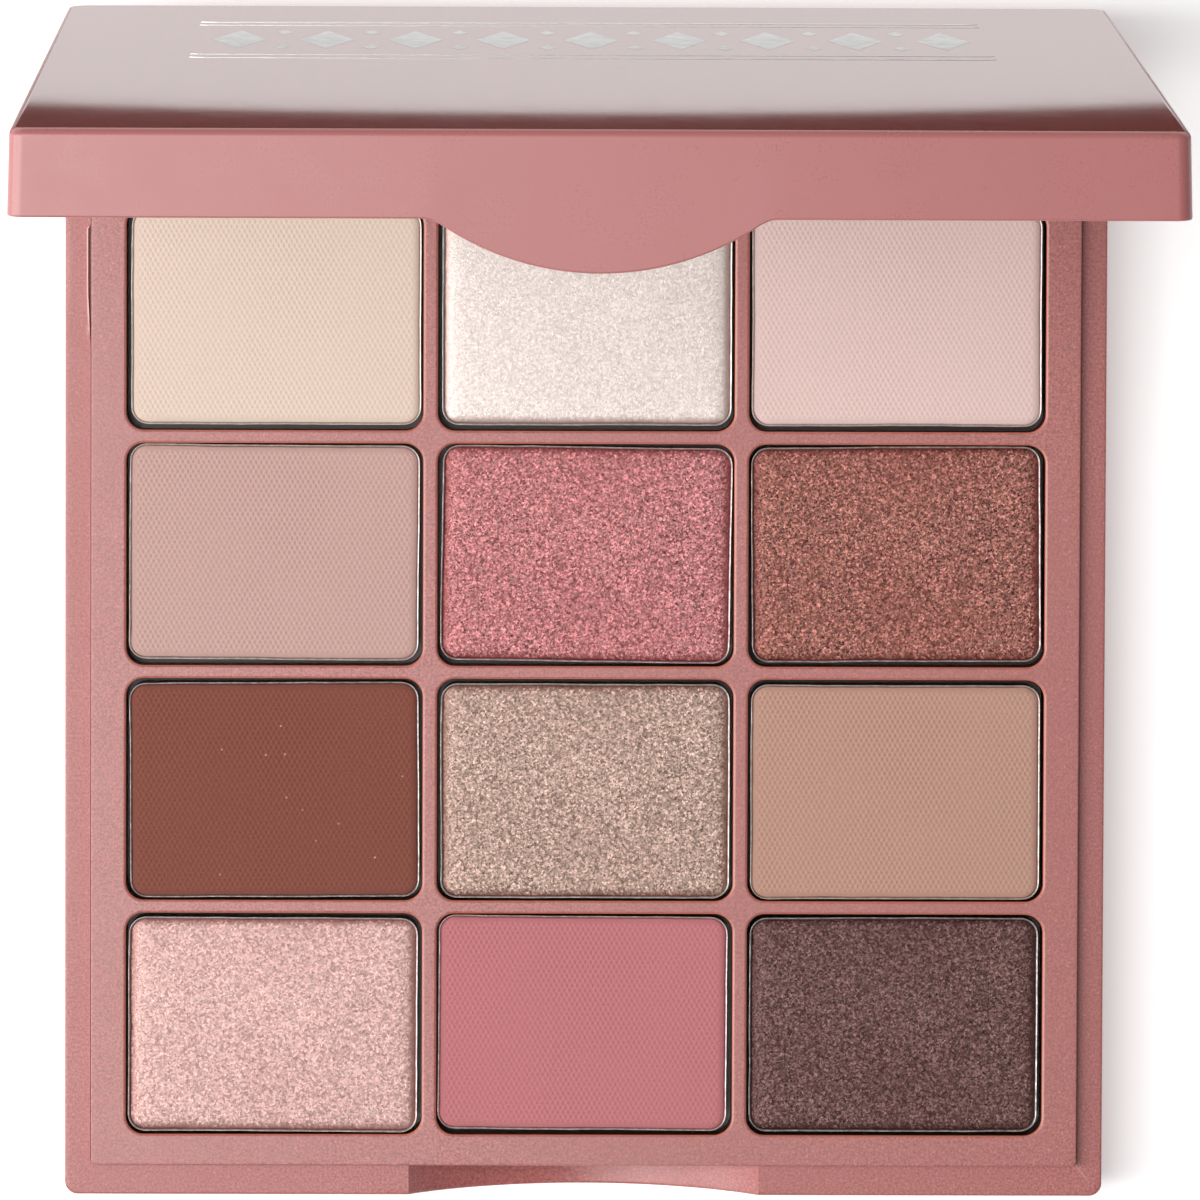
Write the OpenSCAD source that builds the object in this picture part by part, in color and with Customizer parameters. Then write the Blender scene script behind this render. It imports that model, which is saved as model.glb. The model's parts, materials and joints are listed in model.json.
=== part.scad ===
// Hinged eyeshadow palette: twelve pans in a raised deck, with a mirrored lid.
// Origin: centre of the underside of the base. +X right, +Y towards the hinge, +Z up.

/* [Case] */
// Width of the case, side to side
case_w = 104; // [103.6:0.1:110]
// Depth of the case, front to hinge side
case_d = 113.3; // [113:0.1:118]
// Height of the ledge that the lid closes on
ledge_z = 8; // [7.8:0.1:9]
// Radius of the case's upright corners
corner_r = 1.3; // [0.8:0.1:2]
// Draft of the base's outer walls, in degrees
base_draft = 3; // [1:0.5:3]

/* [Deck] */
// Height of the deck's top above the ledge
deck_rise = 1.2; // [0.8:0.1:1.4]
// Width of the ledge in front of the deck
front_ledge = 3.1; // [2.9:0.1:3.3]
// Deck between a side pocket and the deck's edge
deck_side_margin = 3.5; // [3.4:0.1:3.6]
// Deck between the front pockets and the deck's edge
deck_front_margin = 3.1; // [3:0.1:3.4]

/* [Pans] */
// Width of one pan
pan_w = 28.9; // [28.5:0.1:28.9]
// Depth of one pan, front to back
pan_d = 21.5; // [21.2:0.1:21.5]
// Height of one pan
pan_h = 4.2; // [3.5:0.1:4.2]
// Thickness of the tin plate
pan_wall = 0.3; // [0.2:0.05:0.4]
// Play round a pan in its pocket, on each side
pan_play = 0.35; // [0.35:0.05:0.4]
// Width of the ribs between pockets, side to side
rib_x = 1.45; // [1.2:0.05:1.5]
// Width of the ribs between pockets, front to back
rib_y = 1.3; // [1.1:0.05:1.3]

/* [Lid] */
// Height of the lid's walls
lid_h = 8; // [8:0.1:9]
// Thickness of the lid's walls
lid_wall = 1.8; // [1.4:0.1:2]
// Thickness of the lid's panel
lid_panel = 1.6; // [1.2:0.1:1.8]
// Angle at which the lid stands open
lid_open = 83.7; // [0:0.1:116]

/* [Thumb tab and scoop] */
// Radius of the tab's and the scoop's arcs
arc_r = 25; // [22:0.5:30]
// How far the tab hangs below the lid's rim
tab_drop = 4.8; // [4:0.1:5]
// Depth of the scoop below the ledge
scoop_depth = 7.2; // [6.8:0.1:7.2]

/* [Hinge] */
// Distance from the back face to the hinge axis
axis_inset = 2.5; // [2.4:0.1:2.8]
// Radius of the hinge barrels
barrel_r = 2.3; // [2:0.1:2.3]
// Radius of the steel pins
pin_r = 0.8; // [0.6:0.05:0.9]
// Bevel behind the axis on base and on lid; together they stop the lid
bevel = 60; // [59:0.5:61]

/* [Hidden] */
$fn = 96;
COLUMNS = ["left", "middle", "right"];
ROWS = 4;
CELLS = [for (row = [0:ROWS - 1], col = [0:2]) str("row", row + 1, "_", COLUMNS[col])];

hull_fn = 32;                       // sides of the round corners that a hull joins
cut = 1;                            // how far a cutter runs past a face
rim_gap = 0.1;                      // air between the closed lid's rim and the ledge
half_w = case_w / 2;
half_d = case_d / 2;

// Pockets and deck
pocket_w = pan_w + 2 * pan_play;
pocket_d = pan_d + 2 * pan_play;
pitch_x = pocket_w + rib_x;
pitch_y = pocket_d + rib_y;
pocket_r = 1.8;
pan_r = 1.7;
deck_top = ledge_z + deck_rise;
deck_half_w = pitch_x + pocket_w / 2 + deck_side_margin;
deck_front = -half_d + front_ledge;
row4_y = deck_front + deck_front_margin + pocket_d / 2;
deck_back = half_d - 7.1;
deck_r = 0.4;
pan_sink = 0.35;                    // pan's rim below the deck's top
glue_t = 0.15;
pocket_floor = deck_top - pan_sink - pan_h - glue_t;
deck_floor_t = 1;
seat_z = ledge_z - 1;               // the deck's flange sits in a rebate of this depth
seat_w = 1.5;                       // width of that rebate
joint_gap = 0.1;                    // air between deck and base

// Base
floor_t = 2;
rib_foot = 1.4;                     // ribs that stand the deck on the base's floor
label_t = 0.12;
label_w = 62;
label_d = 40;

// Lid, described closed
lid_z = ledge_z + rim_gap;
lid_top = ledge_z + lid_h;
lid_edge_r = 1;                     // round edge between the lid's face and walls
lid_draft = 0.2;                    // how far the walls lean in over their height
cavity_back = half_d - 6.3;
mirror_t = 1.1;
tape_t = 0.15;
mirror_w = 94;
mirror_front = -half_d + 5.5;
mirror_back = cavity_back - 4.5;
frame_w = 1;                        // raised frame round the mirror
frame_h = 0.9;
frame_gap = 0.3;
bead_r = 0.45;                      // snap bead behind the tab
bead_z = ledge_z - 2.6;
bead_half = 7;

// Hinge
axis_y = half_d - axis_inset;
axis_z = ledge_z;
relief_r = barrel_r + 0.35;
ear_outer = [46, half_w - 0.2];     // base ears, measured from the middle of the case
ear_inner = [26, 32];
knuckle = [32.2, 45.8];             // lid knuckle between them
end_gap = 0.2;
pin_span = [27, half_w - 0.5];
pin_run = 0.05;                     // running clearance of pin in knuckle
pin_press = 0.01;                   // press of pin in ear

// How each hand-set pan sits in its pocket: right, back, turn in degrees
SEAT = [
    [0.15, 0.20, 0], [0.05, 0.20, 0], [-0.07, 0.20, 0],
    [-0.05, 0.20, -0.3], [0.05, 0.08, -0.7], [-0.07, 0.15, 0.4],
    [0, -0.06, 0.3], [0.02, -0.12, 0], [-0.02, -0.15, 0],
    [-0.10, -0.12, -0.2], [-0.15, 0.12, -0.4], [-0.10, 0, 0],
];

ROSE = [0.77, 0.54, 0.53];
ROSE_DECK = [0.75, 0.53, 0.51];
TIN = [0.80, 0.78, 0.75];
POWDERS = [
    [0.93, 0.85, 0.76], [0.89, 0.86, 0.82], [0.91, 0.78, 0.75],
    [0.80, 0.66, 0.62], [0.77, 0.45, 0.46], [0.58, 0.36, 0.33],
    [0.52, 0.29, 0.25], [0.70, 0.59, 0.53], [0.75, 0.59, 0.50],
    [0.83, 0.66, 0.62], [0.77, 0.46, 0.49], [0.36, 0.27, 0.26],
];

// ---- Shapes that repeat ----

// Rectangle from corner lo to corner hi with true round corners
module round_rect(lo, hi, r, sides = $fn) {
    translate([lo.x + r, lo.y]) square([hi.x - lo.x - 2 * r, hi.y - lo.y]);
    translate([lo.x, lo.y + r]) square([hi.x - lo.x, hi.y - lo.y - 2 * r]);
    for (x = [lo.x + r, hi.x - r], y = [lo.y + r, hi.y - r])
        translate([x, y]) circle(r, $fn = sides);
}

module round_block(lo, hi, z0, z1, r) {
    translate([0, 0, z0]) linear_extrude(z1 - z0) round_rect(lo, hi, r);
}

// Centred block of the given size
module centred_block(size, z0, r) {
    round_block(-size / 2, size / 2, z0, z0 + size.z, r);
}

// Cylinder along X between two distances from the middle, on one side of the case
module x_rod(side, span, y, z, r) {
    length = span[1] - span[0];
    start = side > 0 ? span[0] : -span[1];
    translate([start, y, z]) rotate([0, 90, 0]) cylinder(r = r, h = length);
}

function grow(span, by) = [span[0] - by, span[1] + by];

// Casing block with leaning walls: the corners are drafted pillars joined by one hull
module casing(z0, z1, inset0, inset1) {
    hull() for (x = [-1, 1], y = [-1, 1])
        translate([x * (half_w - corner_r), y * (half_d - corner_r), 0]) {
            translate([-x * inset0, -y * inset0, z0]) cylinder(r = corner_r, h = 0.01, $fn = hull_fn);
            translate([-x * inset1, -y * inset1, z1 - 0.01])
                cylinder(r = corner_r, h = 0.01, $fn = hull_fn);
        }
}

// Same, with a rounded edge all round its top, as one hull of thin plates
module casing_round_top(z0, z1, inset1, edge_r) {
    module plate(inset, z)
        translate([0, 0, z]) linear_extrude(0.01)
            round_rect([inset - half_w, inset - half_d], [half_w - inset, half_d - inset], corner_r, hull_fn);
    hull() {
        plate(0, z0);
        for (turn = [0:15:90])
            plate(inset1 + edge_r * (1 - cos(turn)), z1 - edge_r * (1 - sin(turn)) - 0.01);
    }
}

// Everything behind a plane through the hinge axis that leans by the bevel, up or down
module bevel_cutter(up) {
    reach = 2 * ledge_z;
    translate([-half_w - cut, axis_y, axis_z]) rotate([up * bevel, 0, 0])
        translate([0, 0, up > 0 ? -reach : 0]) cube([case_w + 2 * cut, reach, reach]);
}

// Arc in the XZ plane whose lowest point is at the given height, as a bar along Y
module arc_bar(lowest, y0, y1) {
    translate([0, y1, lowest + arc_r]) rotate([90, 0, 0]) cylinder(r = arc_r, h = y1 - y0);
}

function cell_x(col) = (col - 1) * pitch_x;
function cell_y(row) = row4_y + (ROWS - 1 - row) * pitch_y;

// Puts its children where a pan sits
module in_seat(row, col) {
    seat = SEAT[row * 3 + col];
    translate([cell_x(col) + seat[0], cell_y(row) + seat[1], 0]) rotate(seat[2]) children();
}

// Turns a closed lid piece to where the lid stands
module opened() {
    translate([0, axis_y, axis_z]) rotate([-lid_open, 0, 0]) translate([0, -axis_y, -axis_z]) children();
}

// ---- Base ----

module base_shell() {
    toe = ledge_z * tan(base_draft);
    bottom_edge = 0.5;
    color(ROSE) difference() {
        union() {
            difference() {
                union() {
                    casing(bottom_edge, ledge_z, toe, 0);
                    casing(0, bottom_edge, toe + bottom_edge, toe);
                }
                bevel_cutter(-1);
                for (side = [-1, 1])
                    x_rod(side, grow(knuckle, end_gap), axis_y, axis_z, relief_r);
            }
            for (side = [-1, 1], ear = [ear_outer, ear_inner])
                x_rod(side, ear, axis_y, axis_z, barrel_r);
        }
        // rebate for the deck's flange, then the hollow below it
        round_block([-deck_half_w - joint_gap, deck_front - joint_gap],
                    [deck_half_w + joint_gap, deck_back + joint_gap], seat_z, ledge_z + cut, deck_r);
        round_block([-deck_half_w + seat_w, deck_front + seat_w], [deck_half_w - seat_w, deck_back - seat_w],
                    floor_t, ledge_z, deck_r);
        // finger scoop, back to the deck's front plane
        arc_bar(ledge_z - scoop_depth, -half_d - cut, deck_front);
        // label recess
        centred_block([label_w + 1, label_d + 1, 2 * label_t], -label_t, 1.5);
        for (side = [-1, 1])
            x_rod(side, [ear_inner[0] - cut, half_w + cut], axis_y, axis_z, pin_r - pin_press);
    }
}

module deck_tray() {
    inner = seat_w + joint_gap;
    lo = [-deck_half_w + inner, deck_front + inner];
    hi = [deck_half_w - inner, deck_back - inner];
    color(ROSE_DECK) difference() {
        union() {
            round_block([-deck_half_w, deck_front], [deck_half_w, deck_back], seat_z, deck_top, deck_r);
            round_block(lo, hi, pocket_floor - deck_floor_t, seat_z, deck_r);
            // skirt and cross ribs stand on the base's floor
            difference() {
                round_block(lo, hi, floor_t, seat_z, deck_r);
                round_block([lo.x + rib_foot, lo.y + rib_foot], [hi.x - rib_foot, hi.y - rib_foot],
                            floor_t - cut, seat_z - cut, deck_r);
            }
            for (x = [-0.5, 0.5] * pitch_x)
                translate([x - rib_foot / 2, lo.y, floor_t]) cube([rib_foot, hi.y - lo.y, 2]);
            for (row = [0.5:1:ROWS - 1.5])
                translate([lo.x, cell_y(row) - rib_foot / 2, floor_t]) cube([hi.x - lo.x, rib_foot, 2]);
        }
        for (row = [0:ROWS - 1], col = [0:2])
            translate([cell_x(col), cell_y(row), 0])
                centred_block([pocket_w, pocket_d, deck_top - pocket_floor + cut], pocket_floor, pocket_r);
    }
}

module base_label() {
    color("white") centred_block([label_w, label_d, label_t], 0, 1.2);
}

// ---- Pans ----

module pan(row, col) {
    color(TIN) in_seat(row, col) difference() {
        centred_block([pan_w, pan_d, pan_h], pocket_floor + glue_t, pan_r);
        centred_block([pan_w - 2 * pan_wall, pan_d - 2 * pan_wall, pan_h],
                      pocket_floor + glue_t + pan_wall, pan_r - pan_wall);
    }
}

module powder(row, col) {
    fill = 0.05;                    // powder's edge below the pan's rim
    color(POWDERS[row * 3 + col]) in_seat(row, col)
        centred_block([pan_w - 2 * pan_wall, pan_d - 2 * pan_wall, pan_h - pan_wall - fill],
                      pocket_floor + glue_t + pan_wall, pan_r - pan_wall);
}

module pan_glue() {
    spot_r = 5;
    color("ivory") for (row = [0:ROWS - 1], col = [0:2])
        in_seat(row, col) translate([0, 0, pocket_floor]) cylinder(r = spot_r, h = glue_t);
}

// ---- Hinge pins ----

module hinge_pin(side) {
    color("silver") x_rod(side, pin_span, axis_y, axis_z, pin_r);
}

// ---- Lid, drawn closed and then opened ----

module thumb_tab() {
    difference() {
        intersection() {
            arc_bar(lid_z - tab_drop, -half_d, -half_d + lid_wall);
            translate([-half_w, -half_d - cut, lid_z - tab_drop - cut])
                cube([case_w, 2 * cut + lid_wall, tab_drop + 2 * cut]);
        }
        // the tab keeps the lid wall's outer face
        translate([-half_w, -half_d - cut, lid_z]) cube([case_w, cut + lid_draft, 2 * cut]);
    }
    translate([-bead_half, -half_d + lid_wall, bead_z]) rotate([0, 90, 0])
        cylinder(r = bead_r, h = 2 * bead_half, $fn = 48);
}

module mirror_frame(z0, z1, grow_by) {
    round_block([-mirror_w / 2 - grow_by, mirror_front - grow_by], [mirror_w / 2 + grow_by, mirror_back + grow_by],
                z0, z1, 1);
}

module lid_shell() {
    ceiling = lid_top - lid_panel;
    color(ROSE) opened() difference() {
        union() {
            difference() {
                union() {
                    casing_round_top(lid_z, lid_top, lid_draft, lid_edge_r);
                    thumb_tab();
                }
                round_block([-half_w + lid_wall, -half_d + lid_wall], [half_w - lid_wall, cavity_back],
                            lid_z - cut, ceiling, 0.6);
                bevel_cutter(1);
                for (side = [-1, 1]) {
                    x_rod(side, [ear_outer[0] - end_gap, half_w + cut], axis_y, axis_z, relief_r);
                    x_rod(side, grow(ear_inner, end_gap), axis_y, axis_z, relief_r);
                }
            }
            for (side = [-1, 1])
                x_rod(side, knuckle, axis_y, axis_z, barrel_r);
            difference() {
                mirror_frame(ceiling - frame_h, ceiling, frame_gap + frame_w);
                mirror_frame(ceiling - frame_h - cut, ceiling + cut, frame_gap);
            }
        }
        for (side = [-1, 1])
            x_rod(side, grow(knuckle, cut), axis_y, axis_z, pin_r + pin_run);
    }
}

module mirror_tape() {
    inset = 3;
    ceiling = lid_top - lid_panel;
    color("gainsboro") opened() mirror_frame(ceiling - tape_t, ceiling, -inset);
}

module lid_mirror() {
    ceiling = lid_top - lid_panel;
    color([0.75, 0.82, 0.86]) opened() mirror_frame(ceiling - tape_t - mirror_t, ceiling - tape_t, 0);
}

base_shell();
deck_tray();
for (row = [0:ROWS - 1], col = [0:2]) {
    pan(row, col);
    powder(row, col);
}
pan_glue();
hinge_pin(-1);  // hinge_pin_left
hinge_pin(1);  // hinge_pin_right
base_label();
lid_shell();
lid_mirror();
mirror_tape();
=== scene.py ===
"""Looks of a hinged twelve-pan eyeshadow palette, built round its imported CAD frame.

Lengths in the helper code are millimetres and become metres where a mesh is made.
"""

import bpy
import bmesh
import json
import math
from mathutils import Matrix, Vector, noise


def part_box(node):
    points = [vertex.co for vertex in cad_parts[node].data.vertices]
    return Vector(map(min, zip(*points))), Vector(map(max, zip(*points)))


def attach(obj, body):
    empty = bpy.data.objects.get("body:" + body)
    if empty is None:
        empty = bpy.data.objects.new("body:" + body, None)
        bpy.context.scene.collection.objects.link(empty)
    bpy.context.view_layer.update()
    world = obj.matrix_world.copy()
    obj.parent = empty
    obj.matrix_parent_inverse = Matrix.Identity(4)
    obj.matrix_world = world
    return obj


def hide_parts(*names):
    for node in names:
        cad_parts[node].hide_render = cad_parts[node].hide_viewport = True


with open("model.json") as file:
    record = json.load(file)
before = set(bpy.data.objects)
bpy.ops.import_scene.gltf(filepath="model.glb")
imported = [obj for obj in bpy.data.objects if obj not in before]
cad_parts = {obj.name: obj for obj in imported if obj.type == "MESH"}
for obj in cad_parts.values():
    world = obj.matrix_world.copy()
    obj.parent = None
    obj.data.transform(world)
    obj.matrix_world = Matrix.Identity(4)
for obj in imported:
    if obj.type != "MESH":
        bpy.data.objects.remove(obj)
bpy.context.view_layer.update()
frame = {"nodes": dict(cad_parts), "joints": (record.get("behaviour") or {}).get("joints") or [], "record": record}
scene = bpy.context.scene

MM = 0.001
TAU = 2 * math.pi


# ---- Camera ----

def make_camera():
    """Long lens high above the palette's back half, tipped slightly towards its front."""
    data = bpy.data.cameras.new("camera")
    data.sensor_width = 36
    data.lens = 271.1
    data.clip_start = 0.02
    data.clip_end = 50
    camera = bpy.data.objects.new("camera", data)
    camera.location = (-0.0097, 0.0491, 0.9101)
    camera.rotation_euler = [math.radians(a) for a in (-2.92, -0.697, 0.207)]
    scene.collection.objects.link(camera)
    scene.camera = camera


make_camera()


# ---- Sizes, read from the frame ----

def box_mm(node):
    lo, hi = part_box(node)
    return lo / MM, hi / MM


hinge = next(j for j in frame["joints"] if j["name"] == "lid_hinge")
HINGE_POS = Vector(hinge["pos_m"]) / MM
HINGE_AXIS = Vector(hinge["axis"])
CLOSED_DEG = hinge["range_deg"][0]


def about_hinge(degrees):
    """Turn about the hinge axis, in millimetres."""
    turn = Matrix.Rotation(math.radians(degrees), 4, HINGE_AXIS)
    return Matrix.Translation(HINGE_POS) @ turn @ Matrix.Translation(-HINGE_POS)


CLOSE = about_hinge(CLOSED_DEG)
OPEN = about_hinge(-CLOSED_DEG)


def closed_box_mm(node):
    """Corners of a lid node as it lies when the palette is shut."""
    points = [CLOSE @ (v.co / MM) for v in frame["nodes"][node].data.vertices]
    lo = Vector(min(p[i] for p in points) for i in range(3))
    hi = Vector(max(p[i] for p in points) for i in range(3))
    return lo, hi


BASE_LO, BASE_HI = box_mm("base_shell")
DECK_LO, DECK_HI = box_mm("deck_tray")
LID_LO, LID_HI = closed_box_mm("lid_shell")
MIRROR_LO, MIRROR_HI = closed_box_mm("lid_mirror")

# Base: ledge round the deck, the deck's seat below it and the inner floor
HALF_W = BASE_HI.x
FRONT = BASE_LO.y
BACK = -FRONT
LEDGE_Z = HINGE_POS.z
SEAT_Z = LEDGE_Z - 1
FLOOR_Z = 2.0
CASE_R = 1.3
DRAFT_DEG = 3
BASE_TOE = LEDGE_Z * math.tan(math.radians(DRAFT_DEG))

# Lid, as it lies when the palette is shut
LID_RIM = LEDGE_Z + 0.1
LID_TOP = LID_HI.z
CEILING = LID_TOP - 1.6
LID_WALL = 1.8
LID_DRAFT = 0.2
LID_EDGE_R = 0.7
CAVITY_BACK = BACK - 6.3

# Thumb tab and finger scoop share one radius. The crest is where the scoop's arc meets the
# ledge, and the bead is the snap inside the tab's wall.
ARC_R = 25.0
TAB_LOW = LID_LO.z
SCOOP_LOW = 0.8
CREST_X = math.sqrt(ARC_R ** 2 - (ARC_R - LEDGE_Z + SCOOP_LOW) ** 2)
BEAD_HALF = 7
BEAD_R = 0.45
BEAD_Z = LEDGE_Z - 2.6

# Hinge: spans along the right half of the axis, mirrored to the left
BARREL_R = 2.3
RELIEF_R = 2.65
EAR_BORE_R = 0.79
KNUCKLE_BORE_R = 0.85
EARS = ((46.0, HALF_W - 0.2), (26.0, 32.0))
KNUCKLE = (32.2, 45.8)
END_GAP = 0.2
BEVEL = math.radians(60)

# Pockets of the deck and the pans that stand in them
POCKET = (29.6, 22.2)
POCKET_R = 1.8
POCKET_FLOOR = 4.5
PITCH = (31.05, 23.5)
FRONT_MARGIN = 3.1
ROW4_Y = DECK_LO.y + FRONT_MARGIN + POCKET[1] / 2
PAN = (28.9, 21.5)
PAN_R = 1.7
PAN_WALL = 0.2
PAN_WAVE = 0.09

# Front and back end of the stretch where the deck's left seam stands open
SLOT_Y = (28.5, 40.3)

COLUMNS = ("left", "middle", "right")
CELLS = [(row, col) for row in range(1, 5) for col in range(3)]


# ---- Mesh helpers ----

def even(count):
    """Evenly spaced fractions between the two ends of a side."""
    return [(i + 1) / (count + 1) for i in range(count)]


def along_front(half):
    """Fractions along the front: close across the scoop, one on each crest, and even beyond."""
    to_crest, past_crest, beyond = 35, 5, 8
    reach_steps = to_crest + past_crest
    inner = [CREST_X * i / to_crest for i in range(-reach_steps, reach_steps + 1)]
    reach = inner[-1]
    outer = [reach + (half - reach) * (i + 0.5) / beyond for i in range(beyond)]
    xs = [-x for x in reversed(outer)] + inner + outer
    return [(x + half) / (2 * half) for x in xs]


def ring(lo, hi, r, z, sides=((), (), (), ()), arc=8):
    """Points counter-clockwise round a rounded rectangle; z is a height or a function of x and y."""
    corners = (((hi[0] - r, lo[1] + r), -90), ((hi[0] - r, hi[1] - r), 0),
               ((lo[0] + r, hi[1] - r), 90), ((lo[0] + r, lo[1] + r), 180))
    starts = ((lo[0] + r, lo[1]), (hi[0], lo[1] + r), (hi[0] - r, hi[1]), (lo[0], hi[1] - r))
    ends = ((hi[0] - r, lo[1]), (hi[0], hi[1] - r), (lo[0] + r, hi[1]), (lo[0], lo[1] + r))
    flat = []
    for a, b, fractions, (centre, start) in zip(starts, ends, sides, corners):
        flat += [(a[0] + (b[0] - a[0]) * t, a[1] + (b[1] - a[1]) * t) for t in fractions]
        for i in range(arc + 1):
            angle = math.radians(start + 90 * i / arc)
            flat.append((centre[0] + r * math.cos(angle), centre[1] + r * math.sin(angle)))
    return [Vector((x, y, z(x, y) if callable(z) else z)) for x, y in flat]


def new_piece(name, bm):
    """Object made from a bmesh in millimetres."""
    weld = 0.0005
    bmesh.ops.remove_doubles(bm, verts=bm.verts, dist=weld)
    bmesh.ops.dissolve_degenerate(bm, edges=bm.edges, dist=weld)
    bmesh.ops.recalc_face_normals(bm, faces=bm.faces)
    bmesh.ops.scale(bm, vec=(MM, MM, MM), verts=bm.verts)
    mesh = bpy.data.meshes.new(name)
    bm.to_mesh(mesh)
    bm.free()
    piece = bpy.data.objects.new(name, mesh)
    scene.collection.objects.link(piece)
    return piece


def skin(bm, rings):
    """Quads between neighbouring rings of points; returns the rows of vertices."""
    rows = [[bm.verts.new(p) for p in points] for points in rings]
    for lower, upper in zip(rows, rows[1:]):
        for i in range(len(lower)):
            j = (i + 1) % len(lower)
            bm.faces.new((lower[i], lower[j], upper[j], upper[i]))
    return rows


def loft(name, rings):
    """Closed solid through rings of points, capped at both ends."""
    bm = bmesh.new()
    rows = skin(bm, rings)
    bm.faces.new(rows[0])
    bm.faces.new(rows[-1])
    return new_piece(name, bm)


def add_rod(bm, x0, x1, y, z, r, sides=64, round_end=0.0):
    """Rod along X, with its ends' edges rounded off."""
    profile = [(x0, r)]
    if round_end:
        turns = [math.radians(a) for a in (0, 30, 60, 90)]
        head = [(x0 + round_end * (1 - math.cos(t)), r - round_end * (1 - math.sin(t))) for t in turns]
        profile = head + [(x1 - (x - x0), radius) for x, radius in reversed(head)]
    else:
        profile.append((x1, r))
    rings = [[Vector((x, y + radius * math.cos(TAU * i / sides), z + radius * math.sin(TAU * i / sides)))
              for i in range(sides)] for x, radius in profile]
    rows = skin(bm, rings)
    bm.faces.new(rows[0])
    bm.faces.new(rows[-1])


def both_sides(span):
    """A span along X and its mirror image."""
    return (span, (-span[1], -span[0]))


def rods(name, spans, y, z, r, sides=64, round_end=0.0):
    """Rods along X on one axis, one for each span."""
    bm = bmesh.new()
    for x0, x1 in spans:
        add_rod(bm, x0, x1, y, z, r, sides, round_end)
    return new_piece(name, bm)


def hinge_rods(name, spans, r, sides=64, round_end=0.0):
    """Rods on the hinge axis."""
    return rods(name, spans, HINGE_POS.y, HINGE_POS.z, r, sides, round_end)


def bevel_wedge(up):
    """Everything behind a plane through the hinge axis that leans back by the bevel."""
    reach = 2 * LEDGE_Z
    along = Vector((0, math.cos(BEVEL), up * math.sin(BEVEL))) * reach
    across = Vector((0, math.sin(BEVEL), -up * math.cos(BEVEL))) * reach
    rings = []
    for x in (-HALF_W - 1, HALF_W + 1):
        corner = Vector((x, HINGE_POS.y, HINGE_POS.z))
        rings.append([corner, corner + along, corner + along + across, corner + across])
    return loft("wedge", rings)


def boolean(piece, tool, operation):
    """Cuts the tool from the piece, or joins it on, and removes the tool."""
    modifier = piece.modifiers.new("boolean", "BOOLEAN")
    modifier.object = tool
    modifier.operation = operation
    modifier.solver = "MANIFOLD"
    bpy.context.view_layer.update()
    result = piece.evaluated_get(bpy.context.evaluated_depsgraph_get())
    mesh = bpy.data.meshes.new_from_object(result)
    piece.modifiers.clear()
    piece.data = mesh
    bpy.data.objects.remove(tool)


def shade(piece, sharp_deg=32):
    """Smooth faces with crisp corners, and flat faces that stay flat."""
    piece.data.shade_smooth()
    piece.data.set_sharp_from_angle(angle=math.radians(sharp_deg))
    modifier = piece.modifiers.new("weighted", "WEIGHTED_NORMAL")
    modifier.keep_sharp = True


def swing_open(piece):
    """Turns a piece built on the shut lid to where the lid stands at rest."""
    piece.data.transform(Matrix.Scale(MM, 4) @ OPEN @ Matrix.Scale(1 / MM, 4))


def dress(piece, material, body, slot, *stands_for):
    """Gives a piece its material and body, and hides the CAD nodes that it replaces. The slot argument is not
    used.
    """
    piece.data.materials.clear()
    piece.data.materials.append(material)
    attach(piece, body)
    if stands_for:
        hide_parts(*stands_for)


def smooth_min(a, b, blend):
    """The lower of two values, with a soft change from one to the other."""
    h = max(blend - abs(a - b), 0) / blend
    return min(a, b) - h * h * blend / 4


def arc_height(x, lowest):
    """Height on the tab's and scoop's arc; it stops rising half a millimetre short of the radius."""
    return lowest + ARC_R - math.sqrt(ARC_R ** 2 - min(abs(x), ARC_R - 0.5) ** 2)


def quarter(r, steps=6):
    """(in, down) offsets along a quarter round, from the top face to the side."""
    turns = [math.radians(90 * i / steps) for i in range(steps + 1)]
    return [(r * (1 - math.sin(t)), r * (1 - math.cos(t))) for t in turns]


# ---- Material helpers ----

def srgb(r, g, b):
    def linear(v):
        v /= 255
        return v / 12.92 if v <= 0.04045 else ((v + 0.055) / 1.055) ** 2.4
    return (linear(r), linear(g), linear(b), 1)


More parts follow.
